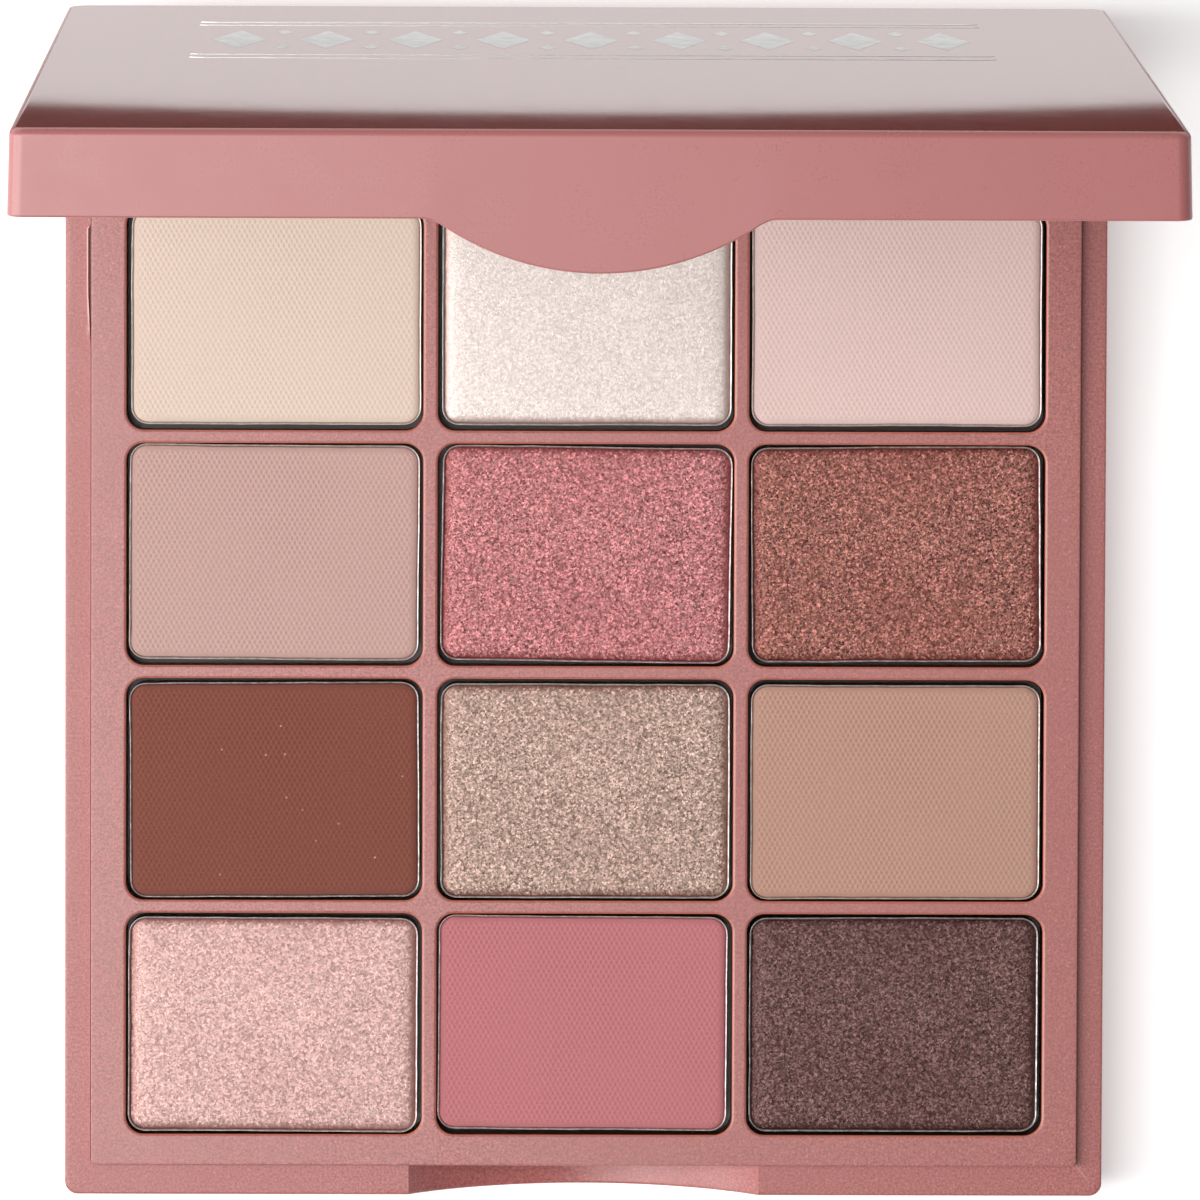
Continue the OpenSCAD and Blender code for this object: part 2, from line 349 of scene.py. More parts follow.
class Shader:
    """Builds one node material; make() takes socket values and sockets to link."""

    def __init__(self, name):
        self.material = bpy.data.materials.new(name)
        self.material.use_nodes = True
        self.tree = self.material.node_tree
        self.tree.nodes.clear()
        self.output = self.tree.nodes.new("ShaderNodeOutputMaterial")
        coords = self.tree.nodes.new("ShaderNodeTexCoord")
        self.place = self.math("MULTIPLY", coords.outputs["Object"], (1 / MM,) * 3, vector=True)

    def make(self, kind, values, **settings):
        node = self.tree.nodes.new("ShaderNode" + kind)
        for key, value in settings.items():
            setattr(node, key, value)
        for key, value in values.items():
            if isinstance(value, bpy.types.NodeSocket):
                self.tree.links.new(value, node.inputs[key])
            else:
                node.inputs[key].default_value = value
        return node

    def math(self, operation, a, b=None, vector=False):
        kind = "VectorMath" if vector else "Math"
        values = {0: a} if b is None else {0: a, 1: b}
        return self.make(kind, values, operation=operation).outputs[0]

    def noise(self, scale, detail=2.0, roughness=0.5, offset=0.0):
        place = self.place
        if offset:
            place = self.math("ADD", place, (offset,) * 3, vector=True)
        node = self.make("TexNoise", {"Vector": place, "Scale": scale, "Detail": detail,
                                      "Roughness": roughness})
        return node.outputs["Fac"]

    def cells(self, scale, feature="F1"):
        return self.make("TexVoronoi", {"Vector": self.place, "Scale": scale}, feature=feature)

    def ramp(self, value, low, high, out_low=0.0, out_high=1.0):
        return self.make("MapRange", {"Value": value, "From Min": low, "From Max": high,
                                      "To Min": out_low, "To Max": out_high}).outputs["Result"]

    def mix(self, factor, a, b, blend="MIX"):
        node = self.tree.nodes.new("ShaderNodeMix")
        node.data_type = "RGBA"
        node.blend_type = blend
        for index, value in ((0, factor), (6, a), (7, b)):
            if isinstance(value, bpy.types.NodeSocket):
                self.tree.links.new(value, node.inputs[index])
            else:
                node.inputs[index].default_value = value
        return node.outputs[2]

    def bump(self, height, distance, strength=1.0, normal=None):
        values = {"Height": height, "Distance": distance * MM, "Strength": strength}
        if normal is not None:
            values["Normal"] = normal
        return self.make("Bump", values).outputs["Normal"]

    def edges(self, low=0.54, high=0.65):
        pointiness = self.make("NewGeometry", {}).outputs["Pointiness"]
        return self.ramp(pointiness, low, high)

    def axes(self):
        """The place's X, Y and Z in millimetres."""
        return self.make("SeparateXYZ", {"Vector": self.place}).outputs

    def height(self, low, high):
        """0 below the low height, 1 above the high one."""
        return self.ramp(self.axes()["Z"], low, high)

    def finish(self, **values):
        sockets = {key.replace("_", " "): value for key, value in values.items()}
        surface = self.make("BsdfPrincipled", sockets)
        self.tree.links.new(surface.outputs[0], self.output.inputs["Surface"])
        return self.material


def tint(colour, factor):
    return tuple(min(c * factor, 1) for c in colour[:3]) + (1,)


# ---- Materials ----

def plastic(name, colour, roughness, speckle, relief, coat=0.3, edge_wear_and_highlight=0.22, pocket_top=None,
            burr_z=None):
    """Satin moulded plastic with a fine pearly speckle, and pale edges that are partly wear and partly a painted
    highlight.

    Below pocket_top the walls of pockets carry a painted warm highlight at the lip and painted shade further down;
    above burr_z the raised edge of the deck's open seam carries a pale painted highlight.
    """
    pale = (0.80, 0.50, 0.48, 1)
    s = Shader(name)
    grain = s.noise(4.0, 3, 0.65)
    broad = s.noise(0.035, 2)
    body = s.mix(s.ramp(grain, 0.3, 0.7), tint(colour, 1 - speckle), tint(colour, 1 + speckle))
    body = s.mix(s.ramp(broad, 0.35, 0.65, 0, 0.5), body, tint(colour, 0.97))
    flakes = s.cells(5.0)
    rare = s.ramp(flakes.outputs["Color"], 0.80, 0.97, 0, speckle * 0.4)
    body = s.mix(rare, body, pale)
    # Pale convex edges: partly wear, partly a painted highlight along the rounded edges.
    body = s.mix(s.ramp(s.edges(), 0, 1, 0, edge_wear_and_highlight), body, pale)
    if pocket_top:
        xyz = s.axes()
        # Painted light in the pockets: a warm painted highlight along the lip, then painted shade that goes
        # near-black deeper down.
        lip = s.mix(s.height(pocket_top - 0.09, pocket_top - 0.015), (0.70, 0.20, 0.115, 1), body)
        painted_lip_and_pocket_shade = s.mix(s.height(pocket_top - 0.9, pocket_top - 0.24), (0.06, 0.007, 0.005, 1), lip)
        off_centre = s.math("ABSOLUTE", s.math("SUBTRACT", xyz["Y"], (DECK_LO.y + DECK_HI.y) / 2))
        half_depth = (DECK_HI.y - DECK_LO.y) / 2
        within = s.ramp(off_centre, half_depth - 0.8, half_depth - 0.4, 1, 0)
        across = s.ramp(s.math("ABSOLUTE", xyz["X"]), DECK_HI.x - 0.8, DECK_HI.x - 0.4, 1, 0)
        body = s.mix(s.math("MULTIPLY", across, within), body, painted_lip_and_pocket_shade)
    if burr_z:
        xyz = s.axes()
        ahead = s.ramp(xyz["Y"], SLOT_Y[1], SLOT_Y[1] + 1, 1, 0)
        raised = s.math("MULTIPLY", s.ramp(xyz["Z"], burr_z + 0.02, burr_z + 0.06), ahead)
        # Painted highlight: the burr is painted pale for the light it would catch.
        body = s.mix(raised, body, (0.82, 0.50, 0.46, 1))
    scuffs = s.noise(0.22, 4, 0.65, offset=7)
    rough = s.ramp(s.math("ADD", s.math("MULTIPLY", grain, 0.5), s.math("MULTIPLY", scuffs, 0.5)),
                   0.35, 0.65, roughness - 0.05, roughness + 0.06)
    normal = s.bump(s.noise(4.5, 2, 0.55, offset=3), 0.02 * relief, 0.6)
    normal = s.bump(s.noise(0.9, 2, 0.5, offset=11), 0.02, 0.35 * relief, normal)
    return s.finish(Base_Color=body, Roughness=rough, Normal=normal, Coat_Weight=coat,
                    Coat_Roughness=0.3)


def glossy_plastic():
    """The lid's polished outer face, with faint streaks that run from the hinge to the thumb tab."""
    s = Shader("lid_face_plastic")
    stretched = s.math("MULTIPLY", s.place, (1, 0.03, 0.03), vector=True)
    streaks = s.make("TexNoise", {"Vector": stretched, "Scale": 0.9, "Detail": 3.0}).outputs["Fac"]
    body = s.mix(s.ramp(streaks, 0.3, 0.7), (0.39, 0.090, 0.078, 1), (0.42, 0.098, 0.085, 1))
    rough = s.ramp(s.noise(0.3, 3, offset=7), 0.3, 0.7, 0.05, 0.06)
    return s.finish(Base_Color=body, Roughness=rough, Normal=s.bump(streaks, 0.002, 0.3))


def tin_plate(name, dust):
    """Drawn tin, dulled along its rim by powder of the pan's own shade."""
    s = Shader(name)
    drawn = s.noise(0.8, 5, 0.6)
    body = s.mix(s.ramp(drawn, 0.3, 0.7), (0.72, 0.69, 0.65, 1), (0.88, 0.86, 0.83, 1))
    dusty = s.ramp(s.noise(1.3, 4, 0.65, offset=3), 0.35, 0.65, 0.25, 0.8)
    body = s.mix(dusty, body, tint(dust, 0.6))
    # Painted shade: the tin's wall goes near-black below the deck's top, down in the pocket's gap.
    body = s.mix(s.height(DECK_HI.z - 0.95, DECK_HI.z - 0.45), (0.015, 0.008, 0.008, 1), body)
    rough = s.ramp(s.noise(1.7, 3, offset=5), 0.3, 0.7, 0.28, 0.42)
    return s.finish(Base_Color=body, Metallic=s.ramp(dusty, 0.2, 0.8, 0.9, 0.55), Roughness=rough,
                    Normal=s.bump(drawn, 0.03, 0.5))


def hinge_steel():
    s = Shader("hinge_steel")
    drawn = s.noise(2.5, 4, 0.6)
    body = s.mix(s.ramp(drawn, 0.3, 0.7), (0.50, 0.50, 0.51, 1), (0.66, 0.66, 0.67, 1))
    rough = s.ramp(s.noise(1.1, 3, offset=2), 0.3, 0.7, 0.24, 0.42)
    return s.finish(Base_Color=body, Metallic=1.0, Roughness=rough, Normal=s.bump(drawn, 0.01, 0.4))


def mirror_glass():
    s = Shader("mirror_glass")
    smudge = s.noise(0.06, 4, 0.6)
    dust = s.ramp(s.noise(1.6, 4, 0.7, offset=9), 0.68, 0.8, 0, 0.12)
    body = s.mix(dust, (0.86, 0.89, 0.88, 1), (0.75, 0.74, 0.72, 1))
    rough = s.ramp(smudge, 0.45, 0.75, 0.015, 0.07)
    return s.finish(Base_Color=body, Metallic=1.0, Roughness=rough,
                    Normal=s.bump(s.noise(0.02, 1), 0.01, 0.2))


def fibrous(name, low, high, scale, roughness, relief):
    """Paper, tape and glue: a mottled matt surface."""
    s = Shader(name)
    fibre = s.noise(scale, 5, 0.65)
    body = s.mix(s.ramp(fibre, 0.3, 0.7), low, high)
    rough = s.ramp(s.noise(scale / 3, 2, offset=4), 0.3, 0.7, roughness - 0.08, roughness + 0.08)
    return s.finish(Base_Color=body, Roughness=rough, Normal=s.bump(fibre, relief, 0.6))


def silver_foil():
    s = Shader("silver_foil")
    grain = s.noise(2.2, 4, 0.6)
    body = s.mix(s.ramp(grain, 0.3, 0.7), (0.66, 0.63, 0.62, 1), (0.76, 0.73, 0.72, 1))
    rough = s.ramp(s.noise(0.7, 3, offset=6), 0.3, 0.7, 0.19, 0.25)
    return s.finish(Base_Color=body, Metallic=0.9, Roughness=rough, Normal=s.bump(grain, 0.004, 0.4))


def from_wall(s, xyz):
    """Distance in from the nearest wall of the pan."""
    edges = [s.math("SUBTRACT", PAN[i] / 2 - PAN_WALL, s.math("ABSOLUTE", xyz[axis]))
             for i, axis in enumerate("XY")]
    return s.math("MINIMUM", *edges)


def imprint(s):
    """Staggered dots that the press cloth leaves, and a mask that fades them at the pan's wall."""
    pitch_x, pitch_y = 0.521, 0.945
    xyz = s.axes()
    wave_x = s.math("COSINE", s.math("MULTIPLY", xyz["X"], TAU / pitch_x))
    wave_y = s.math("COSINE", s.math("MULTIPLY", xyz["Y"], TAU / pitch_y))
    inside = s.ramp(from_wall(s, xyz), 0.35, 0.8)
    patches = s.ramp(s.noise(0.09, 2, offset=8), 0.35, 0.6, 0.6, 1)
    weave = s.math("MULTIPLY", s.math("MULTIPLY", wave_x, wave_y), inside)
    return s.ramp(s.math("MULTIPLY", weave, patches), -0.3, 0.8), inside


def matte_powder(name, colour, grain_contrast, dots, specks):
    """Pressed matt pigment with the cloth's dots, painted shade in the dots and along the pan's wall, and bright
    specks in some shades.
    """
    s = Shader(name)
    pits, inside = imprint(s)
    grain = s.noise(5.5, 3, 0.65)
    broad = s.noise(0.07, 3, 0.5, offset=2)
    dark, light = tint(colour, 1 - grain_contrast), tint(colour, 1 + grain_contrast)
    painted_dot_shade = (colour[0] * 0.5, colour[1] * 0.4, colour[2] * 0.4, 1)
    body = s.mix(s.ramp(grain, 0.3, 0.7), dark, light)
    body = s.mix(s.ramp(broad, 0.35, 0.65, 0, 0.6), body, tint(colour, 0.97))
    # Painted shade: the dots are darkened in colour as well as sunk by the bump.
    body = s.mix(s.ramp(pits, 0, 1, 0, dots), body, painted_dot_shade)
    # Painted shade: the powder darkens towards the pan's wall, where the sunken edge lies in the rim's shade.
    body = s.mix(s.ramp(inside, 0, 1, 0.25, 0), body, tint(colour, 0.65))
    if specks:
        rare = s.ramp(s.cells(0.45).outputs["Distance"], 0.055, 0.03, 0, specks)
        body = s.mix(rare, body, (0.75, 0.48, 0.40, 1))
    height = s.math("SUBTRACT", s.math("MULTIPLY", grain, 0.5), s.math("MULTIPLY", pits, 0.6))
    return s.finish(Base_Color=body, Roughness=0.92, Specular_IOR_Level=0.25, Sheen_Weight=0.08,
                    Normal=s.bump(height, 0.05, 0.9))


def shimmer_powder(name, colour, flake, contrast, sparkle, tilt):
    """Pressed pearl: clumped grain, tilted mica flakes whose pale colour is partly a painted glint, and a darker,
    richer edge that is painted shade along the pan's wall.
    """
    s = Shader(name)
    # Mask for the painted shade along the pan's wall.
    rim = s.ramp(from_wall(s, s.axes()), 0.1, 0.75, 0.8, 0)
    grain = s.noise(4.6, 4, 0.75)
    fine = s.noise(7.0, 2, 0.6, offset=4)
    crumbs = s.cells(7.2).outputs["Color"]
    clump = s.math("ADD", s.math("MULTIPLY", grain, 0.5), s.math("MULTIPLY", crumbs, 0.5))
    pale = [0.75 * a + 0.25 * b for a, b in zip(tint(colour, 1 + contrast), flake)]
    body = s.mix(s.ramp(clump, 0.3, 0.7), tint(colour, 1 - contrast), pale)
    body = s.mix(s.ramp(s.noise(0.08, 2, offset=6), 0.35, 0.65, 0, 0.5), body, tint(colour, 0.94))
    flakes = s.cells(5.2)
    # Pale mica flakes: partly the flakes' own paler colour, partly a painted glint where they would catch light.
    bright = s.ramp(flakes.outputs["Color"], 1 - sparkle, 1.0 - sparkle * 0.3, 0, 0.75)
    body = s.mix(bright, body, flake)
    # Painted shade: a darker, richer band where the rim shades the sunken powder.
    body = s.mix(rim, body, (colour[0] * 0.6, colour[1] * 0.38, colour[2] * 0.36, 1))
    lean = s.math("SUBTRACT", flakes.outputs["Color"], (0.5, 0.5, 0.5), vector=True)
    lean = s.math("MULTIPLY", lean, (tilt, tilt, 0.1), vector=True)
    facing = s.make("NewGeometry", {}).outputs["Normal"]
    tilted = s.math("NORMALIZE", s.math("ADD", facing, lean, vector=True), vector=True)
    rough = s.ramp(fine, 0.3, 0.7, 0.34, 0.55)
    return s.finish(Base_Color=body, Metallic=0.45, Roughness=rough,
                    Normal=s.bump(fine, 0.03, 0.7, tilted))


def floor_material():
    s = Shader("floor")
    tone = s.ramp(s.noise(0.004, 2), 0.3, 0.7)
    body = s.mix(tone, (0.95, 0.948, 0.945, 1), (0.97, 0.968, 0.965, 1))
    return s.finish(Base_Color=body, Roughness=0.75, Normal=s.bump(s.noise(0.4, 3), 0.02, 0.3),
                    Emission_Color=(1, 1, 1, 1), Emission_Strength=0.4)


LID_ROSE = plastic("lid_plastic", (0.455, 0.157, 0.151, 1), 0.30, 0.02, 0.1)
LID_FACE = glossy_plastic()
BASE_ROSE = plastic("base_plastic", (0.44, 0.141, 0.129, 1), 0.38, 0.44, 1.8, burr_z=LEDGE_Z)
DECK_ROSE = plastic("deck_plastic", (0.425, 0.134, 0.119, 1), 0.40, 0.46, 1.8, coat=0.7, edge_wear_and_highlight=0,
                    pocket_top=DECK_HI.z)
STEEL = hinge_steel()
FOIL = silver_foil()

# Matt shades by material slot: colour, grain contrast, strength of the painted shade in the dots, bright specks
MATTE = {
    "powder_cream": (srgb(235, 212, 196), 0.08, 0.24, 0),
    "powder_pale_pink": (srgb(235, 205, 199), 0.09, 0.24, 0),
    "powder_mauve_beige": (srgb(208, 171, 162), 0.14, 0.44, 0),
    "powder_brick_brown": (srgb(139, 82, 69), 0.24, 0.50, 0.7),
    "powder_tan": (srgb(198, 156, 139), 0.16, 0.50, 0),
    "powder_pink": (srgb(201, 126, 130), 0.16, 0.40, 0.2),
}
# Pearly shades by material slot: colour, flake colour, grain contrast, sparkle (share of flakes painted pale,
# partly a painted glint), tilt of the flakes
SHIMMER = {
    "powder_pearl": (srgb(217, 203, 196), srgb(250, 244, 238), 0.05, 0.25, 0.12),
    "powder_rose_shimmer": (srgb(180, 103, 106), srgb(230, 180, 174), 0.74, 0.26, 0.5),
    "powder_copper_brown": (srgb(150, 84, 74), srgb(210, 168, 152), 0.88, 0.20, 0.6),
    "powder_taupe_gold": (srgb(173, 140, 127), srgb(234, 216, 198), 0.56, 0.24, 0.5),
    "powder_rose_gold": (srgb(193, 150, 144), srgb(244, 220, 210), 0.18, 0.22, 0.3),
    "powder_plum_brown": (srgb(92, 56, 54), srgb(170, 138, 130), 0.70, 0.14, 0.5),
}


# ---- Casing ----

def left_side():
    """Even steps along the left side, with close ones where the deck's seam opens."""
    near, far = ((DECK_HI.y - y) / (DECK_HI.y - DECK_LO.y) for y in (SLOT_Y[1] + 1, SLOT_Y[0] - 1))
    return sorted(even(24) + [near + (far - near) * i / 60 for i in range(61)])


LONG_SIDES = (even(24), even(24), left_side())


def case_ring(inset, z, r=CASE_R):
    lo = (-HALF_W + inset, FRONT + inset)
    hi = (HALF_W - inset, BACK - inset)
    return ring(lo, hi, r, z, (along_front(hi[0] - r), *LONG_SIDES), arc=10)


def inner_ring(lo, hi, r, z):
    return ring(lo, hi, r, z, (along_front(hi[0] - r), *LONG_SIDES), arc=10)


def base_shell():
    """Lower casing, lofted from the label's recess up the outside and down into its cavity."""
    edge = 0.5
    lip = 0.22
    gap = 0.1
    open_by = 0.24

    def top(x, y):
        """Ledge height, which dips into the finger scoop along the front."""
        return min(LEDGE_Z, arc_height(x, SCOOP_LOW)) if y < DECK_LO.y + 0.5 else LEDGE_Z

    def below_top(drop):
        return lambda x, y: top(x, y) - drop

    def drafted(inset, z):
        """Outer ring of the base, drawn in by the draft, which grows towards its foot."""
        points = case_ring(inset, z)
        for p in points:
            shrink = BASE_TOE * (1 - p.z / LEDGE_Z)
            p.x *= 1 - shrink / HALF_W
            p.y *= 1 - shrink / BACK
        return points

    def label(grow, z):
        lo, hi = box_mm("base_label")
        return inner_ring((lo.x - grow, lo.y - grow), (hi.x + grow, hi.y + grow), 1.5, z)

    def slot(y):
        """How far the left seam stands open, 0 to 1: abrupt at the back, tapering forward."""
        abrupt = min(max((SLOT_Y[1] - y) / 0.2, 0), 1)
        return abrupt * min(max((y - SLOT_Y[0]) / 5, 0), 1)

    def seam_ring(grow, z, burr=0.0):
        """Ring round the deck's seam, pushed out along the slot and raised where a burr stands."""
        lo = (groove_lo[0] - grow, groove_lo[1] - grow)
        hi = (groove_hi[0] + grow, groove_hi[1] + grow)
        points = inner_ring(lo, hi, 0.5 + 0.3 * grow, z)
        for p in points:
            if p.x < lo[0] + 0.01:
                p.x -= (open_by - 0.3 * grow) * slot(p.y)
                p.z += burr * slot(p.y)
        return points

    groove_lo = (DECK_LO.x - gap, DECK_LO.y - gap)
    groove_hi = (DECK_HI.x + gap, DECK_HI.y + gap)
    seat = 1.5 + gap
    cavity_lo = (groove_lo[0] + seat, groove_lo[1] + seat)
    cavity_hi = (groove_hi[0] - seat, groove_hi[1] - seat)
    rings = [label(0.3, 0.12), label(0.5, 0.12), label(0.5, 0.0), label(1.0, 0.0)]
    rings += [drafted(edge + 0.6, 0)] + [drafted(i, d) for i, d in quarter(edge, 5)]
    rings += [drafted(0, lambda x, y: edge + 0.45 * (top(x, y) - lip - edge))]
    rings += [drafted(i, below_top(d)) for i, d in reversed(quarter(lip, 4))]
    rings += [case_ring(0.7, below_top(0), 1.0)]
    burr = 0.1
    rings += [seam_ring(0.5, below_top(0)), seam_ring(0.26, below_top(0))]
    rings += [seam_ring(0.2, below_top(0), burr), seam_ring(0.03, below_top(0), burr)]
    rings += [seam_ring(0, below_top(0)), seam_ring(0, SEAT_Z)]
    rings += [inner_ring(cavity_lo, cavity_hi, 0.5, SEAT_Z), inner_ring(cavity_lo, cavity_hi, 0.5, FLOOR_Z)]
    piece = loft("base_casing", rings)
    boolean(piece, bevel_wedge(-1), "DIFFERENCE")
    knuckle = (KNUCKLE[0] - END_GAP, KNUCKLE[1] + END_GAP)
    boolean(piece, hinge_rods("relief", both_sides(knuckle), RELIEF_R, 96), "DIFFERENCE")
    ears = [span for ear in EARS for span in both_sides(ear)]
    boolean(piece, hinge_rods("ears", ears, BARREL_R, 96, 0.2), "UNION")
    bores = both_sides((EARS[1][0] - 1, HALF_W + 1))
    boolean(piece, hinge_rods("bores", bores, EAR_BORE_R), "DIFFERENCE")
    shade(piece)
    dress(piece, BASE_ROSE, "base", "rose_plastic", "base_shell")


def lid_shell():
    """Upper casing, lofted shut from its face over the rim to the mirror's frame, then opened."""
    rim_r = 0.2

    def rim(x, y):
        """Height of the rim, which hangs down as the thumb tab along the front."""
        if y >= FRONT + LID_WALL + 0.1:
            return LID_RIM
        return smooth_min(LID_RIM, arc_height(x, TAB_LOW), 0.6)

    def above_rim(rise):
        return lambda x, y: rim(x, y) + rise

    inner_lo = (-HALF_W + LID_WALL, FRONT + LID_WALL)
    inner_hi = (HALF_W - LID_WALL, CAVITY_BACK)

    def cavity(inset, z, r=0.6):
        lo = (inner_lo[0] + inset, inner_lo[1] + inset)
        hi = (inner_hi[0] - inset, inner_hi[1] - inset)
        return inner_ring(lo, hi, r, z)

    def frame_ring(grow, z):
        lo = (MIRROR_LO.x - grow, MIRROR_LO.y - grow)
        hi = (MIRROR_HI.x + grow, MIRROR_HI.y + grow)
        return inner_ring(lo, hi, 1.0, z)

    def crown(x, y):
        """How far the face falls away towards the thumb edge, a little more near its ends."""
        reach = 16.0
        near = max(reach - (y - FRONT - LID_EDGE_R), 0) / reach
        return (0.03 + 0.02 * (x / HALF_W) ** 2) * near ** 2

    def face(drop):
        return lambda x, y: LID_TOP - drop - crown(x, y)

    face_steps = (17, 14, 12, 10, 8, 6.5, 5, 3.5, 2.2, 1, 0.1)
    rings = [case_ring(LID_DRAFT + LID_EDGE_R + i, face(0)) for i in face_steps]
    rings += [case_ring(LID_DRAFT + i, face(d)) for i, d in quarter(LID_EDGE_R, 8)]
    rings += [case_ring(LID_DRAFT * 0.5, lambda x, y: (LID_TOP - LID_EDGE_R + rim(x, y)) / 2)]
    rings += [case_ring(i, above_rim(d)) for i, d in reversed(quarter(rim_r, 4))]
    rings += [cavity(-i, above_rim(d)) for i, d in quarter(rim_r, 4)]
    rings += [cavity(0, lambda x, y: (CEILING - 0.5 + rim(x, y)) / 2)]
    rings += [cavity(i, CEILING - 0.5 + d) for i, d in ((0, 0), (0.07, 0.25), (0.25, 0.43), (0.5, 0.5))]
    crest = CEILING - 0.9
    rings += [frame_ring(1.6, CEILING), frame_ring(1.3, CEILING), frame_ring(1.3, crest + 0.2)]
    rings += [frame_ring(1.24, crest + 0.06), frame_ring(1.1, crest), frame_ring(0.5, crest)]
    rings += [frame_ring(0.36, crest + 0.06), frame_ring(0.3, crest + 0.2), frame_ring(0.3, CEILING)]
    piece = loft("lid_casing", rings)
    boolean(piece, bevel_wedge(1), "DIFFERENCE")
    clear = [(EARS[0][0] - END_GAP, HALF_W + 1), (EARS[1][0] - END_GAP, EARS[1][1] + END_GAP)]
    clear = [span for one in clear for span in both_sides(one)]
    boolean(piece, hinge_rods("relief", clear, RELIEF_R, 96), "DIFFERENCE")
    boolean(piece, hinge_rods("knuckles", both_sides(KNUCKLE), BARREL_R, 96, 0.2), "UNION")
    bores = both_sides((KNUCKLE[0] - 1, KNUCKLE[1] + 1))
    boolean(piece, hinge_rods("bores", bores, KNUCKLE_BORE_R), "DIFFERENCE")
    bead = rods("bead", [(-BEAD_HALF, BEAD_HALF)], FRONT + LID_WALL, BEAD_Z, BEAD_R, 32, 0.44)
    boolean(piece, bead, "UNION")
    face_polygons = [p.index for p in piece.data.polygons
                     if p.normal.z > 0.97 and p.center.z / MM > LID_TOP - 0.6]
    swing_open(piece)
    shade(piece)
    dress(piece, LID_ROSE, "lid", "rose_plastic", "lid_shell")
    piece.data.materials.append(LID_FACE)
    for index in face_polygons:
        piece.data.polygons[index].material_index = 1


# ---- Deck ----

def deck_tray():
    """Raised insert with twelve round-cornered pockets."""
    bm = bmesh.new()
    top = DECK_HI.z
    lip = 0.24
    margin = 0.2
    edge = 0.12
    deck_sides = (even(20),) * 4
    pocket_sides = (even(12), even(9)) * 2

    def outline(inset, z, r=0.45):
        lo = (DECK_LO.x + inset, DECK_LO.y + inset)
        hi = (DECK_HI.x - inset, DECK_HI.y - inset)
        return ring(lo, hi, r, z, deck_sides, arc=6)

    def pocket(row, col, grow, z):
        centre = ((col - 1) * PITCH[0], ROW4_Y + (4 - row) * PITCH[1])
        half = (POCKET[0] / 2 + grow, POCKET[1] / 2 + grow)
        lo = (centre[0] - half[0], centre[1] - half[1])
        hi = (centre[0] + half[0], centre[1] + half[1])
        return ring(lo, hi, POCKET_R + grow, z, pocket_sides, arc=10)

    underside = POCKET_FLOOR - 1
    body = 1.6
    outer = [outline(edge + 0.4, top)]
    outer += [outline(i, top - d) for i, d in quarter(edge, 4)]
    outer += [outline(0, SEAT_Z), outline(body, SEAT_Z), outline(body, underside)]
    outer_rows = skin(bm, outer)
    bm.faces.new(outer_rows[-1])
    seams = [outer_rows[0]]
    for row, col in CELLS:
        rings = [pocket(row, col, lip + margin, top), pocket(row, col, lip + 0.04, top)]
        rings += [pocket(row, col, grow, top - drop) for grow, drop in quarter(lip, 5)]
        rings += [pocket(row, col, 0, POCKET_FLOOR)]
        rows = skin(bm, rings)
        bm.faces.new(rows[-1])
        seams.append(rows[0])
    edges = []
    for row in seams:
        for i in range(len(row)):
            edges.append(bm.edges.get((row[i], row[(i + 1) % len(row)])))
    bmesh.ops.triangle_fill(bm, use_beauty=True, use_dissolve=False, edges=edges)
    piece = new_piece("deck", bm)
    add_deck_feet(piece, body, underside)
    shade(piece)
    dress(piece, DECK_ROSE, "base", "deck_plastic", "deck_tray")


def add_deck_feet(piece, body, underside):
    """Skirt and cross ribs under the pockets, which stand on the base's floor."""
    foot = 1.4
    lo = (DECK_LO.x + body + 0.05, DECK_LO.y + body + 0.05)
    hi = (DECK_HI.x - body - 0.05, DECK_HI.y - body - 0.05)
    bars = [((x - foot / 2, lo[1]), (x + foot / 2, hi[1])) for x in (-PITCH[0] / 2, PITCH[0] / 2)]
    bars += [((lo[0], lo[1]), (lo[0] + foot, hi[1])), ((hi[0] - foot, lo[1]), (hi[0], hi[1]))]
    rows = [ROW4_Y + (i + 0.5) * PITCH[1] for i in range(3)]
    bars += [((lo[0], y - foot / 2), (hi[0], y + foot / 2)) for y in rows]
    bars += [((lo[0], lo[1]), (hi[0], lo[1] + foot)), ((lo[0], hi[1] - foot), (hi[0], hi[1]))]
    for a, b in bars:
        bar = loft("foot", [ring(a, b, 0.2, z, arc=3) for z in (FLOOR_Z, underside + 0.5)])
        boolean(piece, bar, "UNION")


# ---- Pans and powders ----

PAN_SIDES = (even(27), even(20)) * 2


def seat_of(node):
    """Centre and turn of a pan, from the straight front edge of its CAD mesh."""
    lo, hi = box_mm(node)
    mesh = frame["nodes"][node].data
    straight = PAN[0] - 2 * PAN_R
    turn = 0.0
    for edge in mesh.edges:
        a, b = (mesh.vertices[i].co / MM for i in edge.vertices)
        run = (b - a) if b.x > a.x else (a - b)
        if abs(run.z) < 0.001 and abs(run.xy.length - straight) < 0.01 and abs(run.y) < 1:
            turn = math.atan2(run.y, run.x)
    return (lo + hi) / 2, turn


def wobble(p, seed, amount):
    """Small unevenness of a pressed tin wall, in and out."""
    slow = noise.noise(Vector((p.x * 0.11, p.y * 0.11, seed)))
    quick = noise.noise(Vector((p.x * 0.45, p.y * 0.45, seed + 40)))
    return amount * (0.75 * slow + 0.35 * quick)


